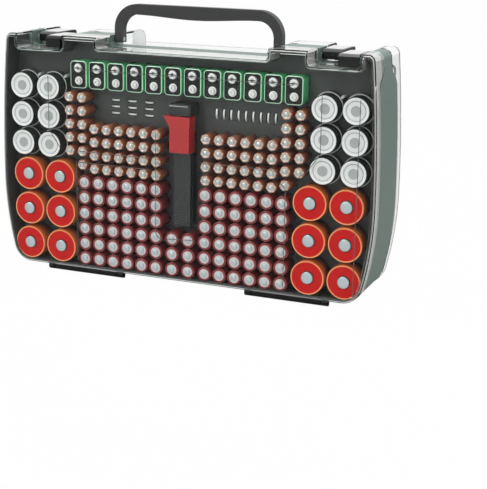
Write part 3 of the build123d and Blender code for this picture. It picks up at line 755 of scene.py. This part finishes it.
# %% The eight kinds
lying_group(
    "back_yellow_cells", grid(both_sides([136.5]), series(148.8, 23.0, 3)),
    diameter=21.0, length=75.0, nub=4.2, bands=[(0.34, 0), (0.78, 1), (1.0, 0)],
    materials=[amber_label, yellow_label],
)
lying_group(
    "back_photo_cells", grid(both_sides([76.8]), series(146.8, 19.9, 3)), diameter=15.6, length=27.0, nub=3.0,
    bands=[(0.3, 1), (0.85, 0), (1.0, 2)],
    materials=[pale_label, dark_label, grey_label],
)
lying_group(
    "back_camera_cells", grid(both_sides([39.5]), series(70.5, 22.4, 6)), diameter=17.5, length=34.0, nub=3.2,
    bands=[(0.2, 1), (0.55, 0), (0.8, 2), (1.0, 0)],
    materials=[grey_label, dark_label, rose_label],
)
lying_group(
    "back_half_aa_cells", grid([2.0], series(42.2, 15.93, 10)), diameter=14.5, length=25.0, nub=2.6,
    bands=[(0.55, 0), (0.68, 1), (1.0, 2)],
    materials=[purple_label, pale_label, black_label],
)
lying_group(
    "back_remote_cells", grid(centred(0, 31.0, 5), [203.0]), diameter=8.0, length=28.0, nub=1.8,
    bands=[(0.6, 0), (0.8, 1), (1.0, 2)],
    materials=[leaf_label, grey_label, yellow_label],
)
lying_group(
    "back_aa_cells", grid(both_sides([149.6]), series(43.9, 16.96, 6)), diameter=14.5, length=50.5, nub=2.75,
    bands=[(0.18, 2), (0.26, 1), (0.62, 0), (0.7, 1), (0.82, 0), (1.0, 1)],
    materials=[salmon_label, pale_label, dark_label],
)
lying_group(
    "back_slim_cells", grid(both_sides([86.4]), series(62.2, 11.0, 7)), diameter=8.3, length=42.5, nub=1.8,
    bands=[(0.55, 0), (1.0, 1)],
    materials=[dark_label, pale_label],
)
aaa_lying = grid(both_sides([84.5, 38.2]), series(38.4, 11.4, 2)) + grid(centred(0, 46.5, 6), [26.2])
lying_group(
    "back_aaa_cells", aaa_lying, diameter=10.5, length=44.5, nub=1.9,
    bands=[(0.72, 0), (0.78, 1), (1.0, 2)],
    materials=[leaf_label, pale_label, tan_label],
)

# %% [markdown]
# ## The case's outline as a wire
# Deck plates and liners follow the bowed outline of the case. The outline is a wire that grows from a
# single vertex: straight runs are extruded and arcs are spun, and the left half is mirrored.

# %% Outline wire
HALF_WIDTH, WIDEST_Z, BOTTOM_Z, HUMP_Z = 194.6, 100.0, 8.5, 239.5
LOW_BOW, HIGH_BOW, LOW_CORNER, HIGH_CORNER = 321.0, 1428.0, 20.0, 7.0
DIP_X, DIP_Z, RECESS_IN, RECESS_OUT, RECESS_Z, STEP_R = 88.0, 229.0, 126.0, 175.0, 226.0, 3.0


def run_to(bm, last, x, z):
    """Extrudes a vertex along a straight run."""
    vert = bmesh.ops.extrude_vert_indiv(bm, verts=[last])["verts"][0]
    vert.co = (x, 0, z)
    return vert


def arc_on(bm, last, hub, angle, steps):
    """Spins a vertex about a hub, anticlockwise as seen from the front."""
    centre = (hub[0], 0, hub[1])
    made = bmesh.ops.spin(bm, geom=[last], cent=centre, axis=(0, -1, 0), angle=angle, steps=steps)
    return next(v for v in made["geom_last"] if isinstance(v, bmesh.types.BMVert))


def outline_wire(inset):
    """The outline brought in by inset, with the steps in its top."""
    bm = bmesh.new()
    low, high = LOW_CORNER - inset, max(HIGH_CORNER - inset, 1.0)
    low_hub_x, high_hub_x = HALF_WIDTH - LOW_BOW, HALF_WIDTH - HIGH_BOW
    low_bow, high_bow = LOW_BOW - inset, HIGH_BOW - inset
    top_z = HUMP_Z - inset
    low_turn = math.asin((WIDEST_Z - BOTTOM_Z - LOW_CORNER) / (low_bow - low))
    high_turn = math.asin((top_z - high - WIDEST_Z) / (high_bow - high))
    low_hub = (low_hub_x + (low_bow - low) * math.cos(low_turn), BOTTOM_Z + LOW_CORNER)
    high_hub = (high_hub_x + (high_bow - high) * math.cos(high_turn), top_z - high)
    last = bm.verts.new((0, 0, BOTTOM_Z + inset))
    last = run_to(bm, last, low_hub[0], BOTTOM_Z + inset)
    last = arc_on(bm, last, low_hub, math.pi / 2 - low_turn, 8)
    last = arc_on(bm, last, (low_hub_x, WIDEST_Z), low_turn, 8)
    last = arc_on(bm, last, (high_hub_x, WIDEST_Z), high_turn, 16)
    last = arc_on(bm, last, high_hub, math.pi / 2 - high_turn, 6)
    round_r = STEP_R + inset
    recess = (RECESS_OUT + inset, RECESS_IN - inset, RECESS_Z - inset)
    dip = (DIP_X + inset, 0, DIP_Z - inset)
    for right_x, left_x, floor_z in (recess, dip):
        last = run_to(bm, last, right_x, top_z)
        last = run_to(bm, last, right_x, floor_z + round_r)
        last = arc_on(bm, last, (right_x - round_r, floor_z + round_r), -math.pi / 2, 6)
        if left_x:
            last = run_to(bm, last, left_x + round_r, floor_z)
            last = arc_on(bm, last, (left_x + round_r, floor_z + round_r), -math.pi / 2, 6)
            last = run_to(bm, last, left_x, top_z)
    run_to(bm, last, 0, DIP_Z - inset)
    bmesh.ops.remove_doubles(bm, verts=bm.verts, dist=0.001)
    bmesh.ops.mirror(bm, geom=bm.verts[:] + bm.edges[:], axis="X", merge_dist=0.001)
    return bm


def plate(inset, y_front, y_back):
    """A flat plate of the outline's shape between two depths."""
    bm = outline_wire(inset)
    bmesh.ops.contextual_create(bm, geom=bm.edges[:])
    grown = bmesh.ops.extrude_face_region(bm, geom=bm.faces[:])
    moved = [v for v in grown["geom"] if isinstance(v, bmesh.types.BMVert)]
    bmesh.ops.translate(bm, vec=(0, y_back - y_front, 0), verts=moved)
    bmesh.ops.translate(bm, vec=(0, y_front, 0), verts=bm.verts)
    bmesh.ops.recalc_face_normals(bm, faces=bm.faces)
    return bm


test_wire = outline_wire(0)
print("outline vertices:", len(test_wire.verts))
test_wire.free()

# %% [markdown]
# ## Front deck
# The deck is one moulded plate with a hole for each cell. The holes are cut in one go by a group of
# cylinders and boxes with a Boolean modifier, which is then applied. The socket blocks behind the deck
# come from a merged copy of the CAD tray, cut off just behind the plate.

# %% Cutting holes
DECK_FRONT, DECK_BACK, DECK_INSET = -19.5, -17.0, 2.4
CUT_FROM, CUT_TO = -21.0, -15.0
HOLE_ROOM = 0.2


def add_cylinders(bm, places, radius, segments):
    """A cylinder through the deck at each place."""
    for x, z in places:
        turn = Matrix.Translation((x, (CUT_FROM + CUT_TO) / 2, z)) @ Matrix.Rotation(math.pi / 2, 4, "X")
        bmesh.ops.create_cone(
            bm,
            cap_ends=True,
            segments=segments,
            radius1=radius,
            radius2=radius,
            depth=CUT_TO - CUT_FROM,
            matrix=turn,
        )


def add_boxes(bm, places, width, height):
    """A box through the deck at each place."""
    for x, z in places:
        size = Matrix.Diagonal((width, CUT_TO - CUT_FROM, height, 1))
        bmesh.ops.create_cube(bm, size=1, matrix=Matrix.Translation((x, (CUT_FROM + CUT_TO) / 2, z)) @ size)


def with_holes(bm, cutters):
    """The bmesh with the cutters taken away by a Boolean modifier."""
    meshes = [bpy.data.meshes.new("whole"), bpy.data.meshes.new("cutters")]
    bm.to_mesh(meshes[0])
    cutters.to_mesh(meshes[1])
    bm.free()
    cutters.free()
    whole, tools = [bpy.data.objects.new(m.name, m) for m in meshes]
    for helper in (whole, tools):
        bpy.context.scene.collection.objects.link(helper)
    cut = whole.modifiers.new("holes", "BOOLEAN")
    cut.object, cut.operation, cut.solver = tools, "DIFFERENCE", "EXACT"
    ready = bpy.data.meshes.new_from_object(whole.evaluated_get(bpy.context.evaluated_depsgraph_get()))
    result = bmesh.new()
    result.from_mesh(ready)
    for helper in (whole, tools):
        bpy.data.objects.remove(helper)
    for mesh in (*meshes, ready):
        bpy.data.meshes.remove(mesh)
    return result


def node_copy(node):
    """A merged copy of a CAD node in millimetres, with its flat faces joined."""
    bm = bmesh.new()
    bm.from_mesh(nodes[node].data)
    bmesh.ops.scale(bm, vec=(1 / MM, 1 / MM, 1 / MM), verts=bm.verts)
    bmesh.ops.remove_doubles(bm, verts=bm.verts, dist=0.004)
    bmesh.ops.dissolve_limit(bm, angle_limit=math.radians(0.5), verts=bm.verts, edges=bm.edges)
    return bm


# %% Deck plate with its sockets
COLLAR_STEPS, COLLAR_FRONT = 40, -28.0
COLLAR_IN, COLLAR_OUT, COLLAR_DEPTH, LIP = 13.3, 14.4, 8.6, 0.3
SLOT_WIDTH, SMALL_SLOT, LARGE_SLOT = 3.6, 9.6, 10.0
holes = bmesh.new()
add_cylinders(holes, aa_places, AA_RADIUS + HOLE_ROOM, 24)
add_cylinders(holes, aaa_places, AAA_RADIUS + HOLE_ROOM, 20)
add_cylinders(holes, d_places, D_RADIUS + HOLE_ROOM, 48)
add_cylinders(holes, c_places, C_RADIUS + HOLE_ROOM, COLLAR_STEPS)
add_boxes(holes, nine_volt_places, NINE_WIDTH + 2 * HOLE_ROOM, NINE_HEIGHT + 2 * HOLE_ROOM)
add_boxes(holes, small_coin_places, SMALL_SLOT, SLOT_WIDTH)
add_boxes(holes, large_coin_places, SLOT_WIDTH, LARGE_SLOT)
deck = with_holes(plate(DECK_INSET, DECK_FRONT, DECK_BACK), holes)
sockets = node_copy("front_tray")
bmesh.ops.bisect_plane(
    sockets,
    geom=sockets.verts[:] + sockets.edges[:] + sockets.faces[:],
    plane_co=(0, DECK_BACK + 0.3, 0),
    plane_no=(0, -1, 0),
    clear_outer=True,
)
add_from(deck, sockets)


def collar_template():
    """The raised wall round a C cell, its lip painted pale as a highlight."""
    bm = bmesh.new()
    inside = [(COLLAR_IN, COLLAR_DEPTH), (COLLAR_IN, LIP), (COLLAR_IN + 0.2, 0)]
    outside = [(COLLAR_OUT - 0.2, 0), (COLLAR_OUT, LIP), (COLLAR_OUT, COLLAR_DEPTH)]
    turned(bm, inside + outside, COLLAR_STEPS)
    paint(bm, lambda radius, depth: 1 if depth < LIP + 0.05 else 0)
    return bm


def lug_template():
    """The small lug at the upper right of a collar, painted pale as a glint."""
    bm = bmesh.new()
    size = Matrix.Diagonal((3.6, 8.4, 2.4, 1))
    lug = Matrix.Rotation(math.radians(-38), 4, "Y") @ Matrix.Translation((16.2, 4.4, 0)) @ size
    bmesh.ops.create_cube(bm, size=1, matrix=lug)
    bmesh.ops.bevel(bm, geom=bm.edges[:], offset=0.4, affect="EDGES", segments=2, profile=0.5, material=-1)
    for face in bm.faces:
        face.material_index = 1
    return bm


C_TOP_ROW = max(z for x, z in c_places)
# Collar lips and lugs take the pale edge colour: painted highlights and glints.
add_from(deck, repeated(collar_template(), c_places, COLLAR_FRONT))
add_from(deck, repeated(lug_template(), [(x, z) for x, z in c_places if z == C_TOP_ROW], COLLAR_FRONT))
shade(deck)
finished(deck, "front_deck_moulding", "case", [deck_plastic, painted_highlight_plastic], ["front_tray"])

# %% [markdown]
# ## Liner inside the rim
# The tray's edge stands forward along the inside of the lid, steps and all, so the case looks dark right
# to its rim from the front. Its outer face is painted paler than its inner face: painted light for the
# brightness seen through the lid's side wall.

# %% Liner
LINER_FRONT, LINER_INSET, LINER_WALL = -41.6, 2.35, 1.0
liner = plate(LINER_INSET, LINER_FRONT, DECK_FRONT + 0.1)
ends = [f for f in liner.faces if len(f.verts) > 20]
bmesh.ops.delete(liner, geom=ends, context="FACES_ONLY")
bmesh.ops.solidify(liner, geom=liner.faces[:], thickness=LINER_WALL)
bmesh.ops.recalc_face_normals(liner, faces=liner.faces)
# Outward side faces get the pale rim colour as painted light; the rest stays charcoal.
for face in liner.faces:
    middle = face.calc_center_median()
    painted_light_face = Vector((middle.x, 0, middle.z - WIDEST_Z)).dot(face.normal) > 0
    face.material_index = 1 if painted_light_face and abs(face.normal.y) < 0.5 else 0
shade(liner)
finished(liner, "front_tray_liner", "case", [deck_plastic, painted_light_rim_plastic])

# %% [markdown]
# ## Soft edges
# Machined-looking edges give a moulded part away. A copy of each visible CAD node gets a small bevel on
# its sharp edges, which catches the light, and then stands for the node.

# %% Softened copies
SHARP_DEGREES = 36
EDGE, GRIP_EDGE, TOOTH_EDGE, LATCH_EDGE = 0.5, 1.4, 0.15, 0.35
TAB_X, TAB_HALF_WIDTH, TAB_LOW_Z = -70, 7.5, 229.6
TAB_FRONT, TAB_BACK = 12, 16


def softened(node, body, width, materials, choose=None, segments=2):
    """A copy of a CAD node with its sharp edges rounded by width."""
    bm = node_copy(node)
    sharp = [e for e in bm.edges if e.is_manifold and e.calc_face_angle(0) > math.radians(SHARP_DEGREES)]
    bmesh.ops.bevel(
        bm,
        geom=sharp,
        offset=width,
        affect="EDGES",
        segments=segments,
        profile=0.5,
        material=-1,
        clamp_overlap=True,
    )
    if choose:
        for face in bm.faces:
            face.material_index = choose(face.calc_center_median())
    shade(bm)
    piece = finished(bm, node + "_soft", body, materials, [node])
    weigh = piece.modifiers.new("even_shading", "WEIGHTED_NORMAL")
    weigh.keep_sharp = True
    return piece


def hinge_number(point):
    """1 for the black hinge parts, which hang below the case."""
    return 1 if point.z < BOTTOM_Z - 0.05 else 0


def tab_number(point):
    """2 for the frosted finger tab of the back lid."""
    beside = abs(point.x - TAB_X) < TAB_HALF_WIDTH and TAB_FRONT < point.y < TAB_BACK
    return 2 if beside and point.z > TAB_LOW_Z else hinge_number(point)


softened("body_frame", "case", EDGE, [body_plastic, latch_plastic], hinge_number)
softened("front_lid", "front_lid", EDGE, [lid_plastic, latch_plastic], hinge_number)
softened("back_lid", "back_lid", EDGE, [lid_plastic, latch_plastic, frosted_plastic], tab_number)
softened("handle", "handle", GRIP_EDGE, [handle_plastic], segments=3)
softened("tester_slider", "slider", TOOTH_EDGE, [slider_plastic])
softened("tester_cap", "case", EDGE, [tester_plastic])
softened("tester_rail", "case", EDGE, [tester_plastic])
# Middle of each latch across the case, and its side: -1 is the front, 1 the back.
latches = {
    "latch_front_left": (-136.9, -1),
    "latch_front_right": (162.0, -1),
    "latch_back_right": (136.9, 1),
    "latch_back_left": (-162.0, 1),
}
for name in latches:
    softened(name, name, LATCH_EDGE, [latch_plastic])

# %% [markdown]
# ## Plates of painted reflection on the latches
# Each latch top is glossy black; the white plate on it with a sunken field of pale grey is a painted
# reflection of the bright surround. It is bare here.

# %% Latch plates of painted reflection
LATCH_TOP_Z = 237.8
PLATE_WIDTH, PLATE_LENGTH, PLATE_THICKNESS, PLATE_CORNER = 16.6, 31.0, 0.8, 2.8
PLATE_MIDDLE_Y, PLATE_FRAME = 16.5, 2.0


def latch_reflection_sheet(x, side):
    """A thin white plate on top of a latch, a painted reflection, its corners rounder than its frame is wide.
    """
    bm = bmesh.new()
    size = Matrix.Diagonal((PLATE_WIDTH, PLATE_LENGTH, PLATE_THICKNESS, 1))
    middle = Matrix.Translation((x, side * PLATE_MIDDLE_Y, LATCH_TOP_Z + 0.1)) @ size
    bmesh.ops.create_cube(bm, size=1, matrix=middle)
    corners = [e for e in bm.edges if abs(e.verts[0].co.z - e.verts[1].co.z) > 0.5]
    bmesh.ops.bevel(
        bm, geom=corners, offset=PLATE_CORNER, affect="EDGES", segments=3, profile=0.5, material=-1
    )
    top = max(bm.faces, key=lambda f: f.calc_center_median().z)
    bmesh.ops.inset_individual(bm, faces=[top], thickness=PLATE_FRAME, depth=0)
    bmesh.ops.inset_individual(bm, faces=[top], thickness=0.3, depth=-0.3)
    top.material_index = 1
    shade(bm)
    return bm


# White plates with a pale field: painted reflection on the latch tops.
for name, (x, side) in latches.items():
    finished(latch_reflection_sheet(x, side), name + "_painted_reflection", name, [white_label, pale_label])

# %% [markdown]
# ## Relief lines of the front lid
# Thin ribs inside the lid outline fields on its face. Their grey is painted shade and light: it reads
# dark over pale cells and pale over the dark deck, as the edges of the clear steps do by refraction.
# Each rib is a row of slim bars along a path of (x, z) points.

# %% Lid ribs
RIB_WIDTH, RIB_DEPTH, RIB_Y = 0.6, 0.35, -42.0


def bar(bm, start, end):
    """A slim bar between two points of the lid's inner face."""
    run = Vector((end[0] - start[0], 0, end[1] - start[1]))
    middle = Matrix.Translation(((start[0] + end[0]) / 2, RIB_Y, (start[1] + end[1]) / 2))
    turn = Matrix.Rotation(math.atan2(run.x, run.z), 4, "Y")
    size = Matrix.Diagonal((RIB_WIDTH, RIB_DEPTH, run.length + RIB_WIDTH / 2, 1))
    bmesh.ops.create_cube(bm, size=1, matrix=middle @ turn @ size)


rib_paths = [
    [(-141, 200), (-141, 147), (-129, 130)],
    [(141, 200), (141, 147), (129, 130), (121, 124)],
    [(-110.6, 118), (-110.6, 17)],
    [(103.6, 116), (106.6, 114), (108.5, 110), (108.5, 17)],
    [(177, 199), (177, 17)],
    [(-109, 128), (-31, 128)],
    [(-109, 117), (-31, 117)],
    [(22, 128.5), (100, 128.5)],
    [(-24.7, 154), (-24.7, 55), (-22.6, 51.2), (-19, 49.4), (16, 51.6)],
    [(-108, 208), (113, 208)],
]
ribs = bmesh.new()
for path in rib_paths:
    for start, end in zip(path, path[1:]):
        bar(ribs, start, end)
# The ribs' grey is painted shade and light of the clear steps' edges.
finished(ribs, "front_lid_ribs", "front_lid", [rib_painted_shade_plastic])

# %% [markdown]
# ## Lines on the tester
# The slider's edges are toothed in the CAD. Three shallow ribs cross its face for the thumb, and a
# pale bar along the top of the cap above it is a painted highlight on that edge.

# %% Slider ribs and the cap's painted highlight
TESTER_X, SLIDER_FACE_Y, CAP_FACE_Y, CAP_HIGHLIGHT_Z = -1.0, -41.45, -41.1, 180.2
slider_ribs = bmesh.new()
for z in series(147.0, 4.0, 3):
    line = Matrix.Translation((TESTER_X, SLIDER_FACE_Y, z)) @ Matrix.Diagonal((15.0, 0.3, 0.7, 1))
    bmesh.ops.create_cube(slider_ribs, size=1, matrix=line)
finished(slider_ribs, "tester_slider_ribs", "slider", [slider_plastic])
# A pale bar on the cap's top edge: painted highlight.
cap_highlight_bar = bmesh.new()
line = Matrix.Translation((TESTER_X, CAP_FACE_Y, CAP_HIGHLIGHT_Z)) @ Matrix.Diagonal((19.0, 0.3, 0.6, 1))
bmesh.ops.create_cube(cap_highlight_bar, size=1, matrix=line)
finished(cap_highlight_bar, "tester_cap_painted_highlight", "case", [painted_highlight_plastic])

# %% [markdown]
# ## Finishes of the nodes that stay
# These CAD nodes already have the right shape, so they only get their finish.

# %% Finishes
finishes = {
    "back_tray": deck_plastic,
    "latch_pins": steel,
    "handle_pins": steel,
    "tester_contact": brass,
    "slider_contact": brass,
}
for node, material in finishes.items():
    mesh = nodes[node].data
    mesh.materials.clear()
    mesh.materials.append(material)
print("nodes with a finish:", len(finishes))

# %% [markdown]
# ## Floor, light and camera
# A pale floor and a white surround, soft light from all sides with one lamp over the left shoulder
# and one overhead, and the camera where the photograph was taken from. Seen straight or through the
# lid the floor is almost white. Otherwise it is a matt grey that keeps the light level plain.

# %% Floor and surround
FLOOR_HALF_M = 6.0


def stage_material():
    """Almost white where it is looked at, matt grey for the light that it sends back."""
    material, tree, output, place = new_material("pale_studio_floor")
    ray = add_node(tree, "LightPath")
    seen = add_node(
        tree,
        "Math",
        {"operation": "MAXIMUM"},
        _0=ray.outputs["Is Camera Ray"],
        _1=ray.outputs["Is Transmission Ray"],
    )
    matt = add_node(tree, "BsdfDiffuse", Color=linear("#C8C8C8"))
    white = add_node(tree, "Emission", Color=linear("#FFFFFF"), Strength=1.0)
    fine = add_node(tree, "TexNoise", Vector=place, Scale=4.0)
    amount = add_node(tree, "MapRange", Value=fine.outputs["Fac"], To_Min=0.985, To_Max=0.995)
    share = add_node(
        tree, "Math", {"operation": "MULTIPLY"}, _0=seen.outputs["Value"], _1=amount.outputs["Result"]
    )
    both = add_node(
        tree, "MixShader", _0=share.outputs["Value"], _1=matt.outputs["BSDF"], _2=white.outputs["Emission"]
    )
    tree.links.new(both.outputs["Shader"], output.inputs["Surface"])
    return material


floor_bm = bmesh.new()
bmesh.ops.create_grid(floor_bm, x_segments=1, y_segments=1, size=FLOOR_HALF_M)
floor_mesh = bpy.data.meshes.new("floor")
floor_bm.to_mesh(floor_mesh)
floor_bm.free()
floor_mesh.materials.append(stage_material())
floor = bpy.data.objects.new("floor", floor_mesh)
bpy.context.scene.collection.objects.link(floor)

world = bpy.data.worlds.new("white_surround")
bpy.context.scene.world = world
world.use_nodes = True
sky = world.node_tree
sky.nodes.clear()
sky_out = sky.nodes.new("ShaderNodeOutputWorld")
ray = add_node(sky, "LightPath")
straight = add_node(
    sky,
    "Math",
    {"operation": "MAXIMUM"},
    _0=ray.outputs["Is Camera Ray"],
    _1=ray.outputs["Is Transmission Ray"],
)
seen = add_node(
    sky, "Math", {"operation": "MAXIMUM"}, _0=straight.outputs["Value"], _1=ray.outputs["Is Glossy Ray"]
)
plain = add_node(sky, "Background", Color=linear("#FFFFFF"), Strength=0.32)
white = add_node(sky, "Background", Color=linear("#FFFFFF"), Strength=1.0)
mixed = add_node(
    sky,
    "MixShader",
    _0=seen.outputs["Value"],
    _1=plain.outputs["Background"],
    _2=white.outputs["Background"],
)
sky.links.new(mixed.outputs["Shader"], sky_out.inputs["Surface"])


# %% Lamps
def soft_lamp(name, place, target, size, power):
    """A round area lamp at a place, turned to its target. power is in watts."""
    lamp = bpy.data.lights.new(name, "AREA")
    lamp.shape = "DISK"
    lamp.size = size
    lamp.energy = power
    holder = bpy.data.objects.new(name, lamp)
    holder.location = place
    holder.rotation_euler = (Vector(target) - Vector(place)).to_track_quat("-Z", "Y").to_euler()
    bpy.context.scene.collection.objects.link(holder)


soft_lamp("key", (-0.9, -1.6, 1.5), (0, 0, 0.12), size=1.0, power=11)
soft_lamp("fill", (1.6, -0.9, 0.7), (0, 0, 0.12), size=1.2, power=5)
soft_lamp("top", (0.1, 0.1, 1.7), (0, 0, 0.1), size=1.2, power=13)
print("lamps, W:", {lamp.name: lamp.energy for lamp in bpy.data.lights})

# %% Camera
YAW, PITCH, ROLL = math.radians(21.67), math.radians(15.24), math.radians(1.11)
FOCAL_PX, WIDTH_PX, SENSOR_MM = 1228.97, 487, 36.0
eye = Vector((0.4826, -1.0862, 0.3599))
forward = Vector((-math.sin(YAW) * math.cos(PITCH), math.cos(YAW) * math.cos(PITCH), -math.sin(PITCH)))
level = forward.cross(Vector((0, 0, 1))).normalized()
upright = level.cross(forward)
right = math.cos(ROLL) * level + math.sin(ROLL) * upright
up = -math.sin(ROLL) * level + math.cos(ROLL) * upright
camera_data = bpy.data.cameras.new("camera")
camera_data.sensor_fit = "HORIZONTAL"
camera_data.sensor_width = SENSOR_MM
camera_data.lens = FOCAL_PX / WIDTH_PX * SENSOR_MM
camera = bpy.data.objects.new("camera", camera_data)
turn = Matrix((right, up, -forward)).transposed().to_4x4()
camera.matrix_world = Matrix.Translation(eye) @ turn
bpy.context.scene.collection.objects.link(camera)
bpy.context.scene.camera = camera
bpy.context.scene.view_settings.view_transform = "Standard"
print("lens:", round(camera_data.lens, 2), "mm")
